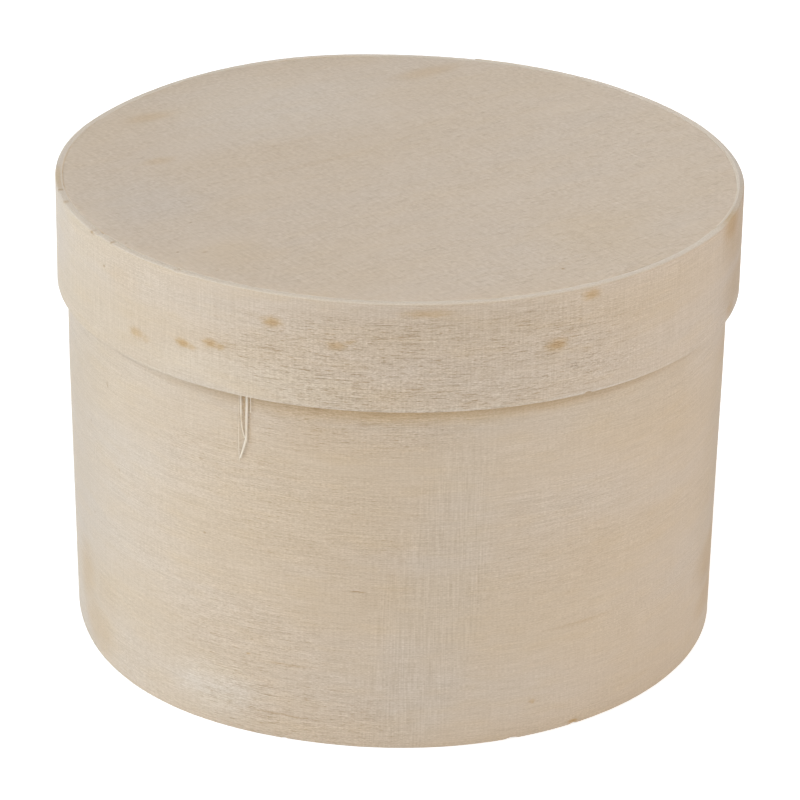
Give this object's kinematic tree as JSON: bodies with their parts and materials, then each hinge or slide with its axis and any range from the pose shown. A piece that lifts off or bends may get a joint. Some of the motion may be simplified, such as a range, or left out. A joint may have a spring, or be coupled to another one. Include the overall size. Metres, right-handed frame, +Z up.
{
  "type": "cheese box",
  "caption": "Round box of thin bent wood veneer with a flat base and a loose lift-off lid whose rim slides down over the body.",
  "frame": {"origin": "centre of the base, on the axis of the box, at the level that it stands on", "axes": "+Z up along the axis of the box; -Y towards the side that the picture shows, with both laps at the back about +Y"},
  "size_m": [0.1012, 0.1012, 0.07],
  "materials": {
    "body_veneer": "raw peeled poplar veneer, unsanded, matt, grain round the box",
    "lid_veneer": "raw peeled poplar veneer, unsanded, matt, grain round the lid",
    "lid_top_wood": "raw flat poplar, matt, straight grain",
    "bottom_wood": "raw flat poplar, matt, straight grain",
    "lap_glue": "thin film of dried glue",
    "bead_glue": "dried bead of pale glue"
  },
  "bodies": {
    "box": {"body_strip": "body_veneer", "body_lap_glue": "lap_glue", "bottom_disc": "bottom_wood", "bottom_disc_glue": "bead_glue"},
    "lid": {"lid_strip": "lid_veneer", "lid_lap_glue": "lap_glue", "lid_disc": "lid_top_wood", "lid_disc_glue": "bead_glue"}
  },
  "joints": [
    {"name": "lid_lift", "type": "slide", "parent": "box", "child": "lid", "axis": [0, 0, 1], "range_m": [0, 0.05]}
  ]
}
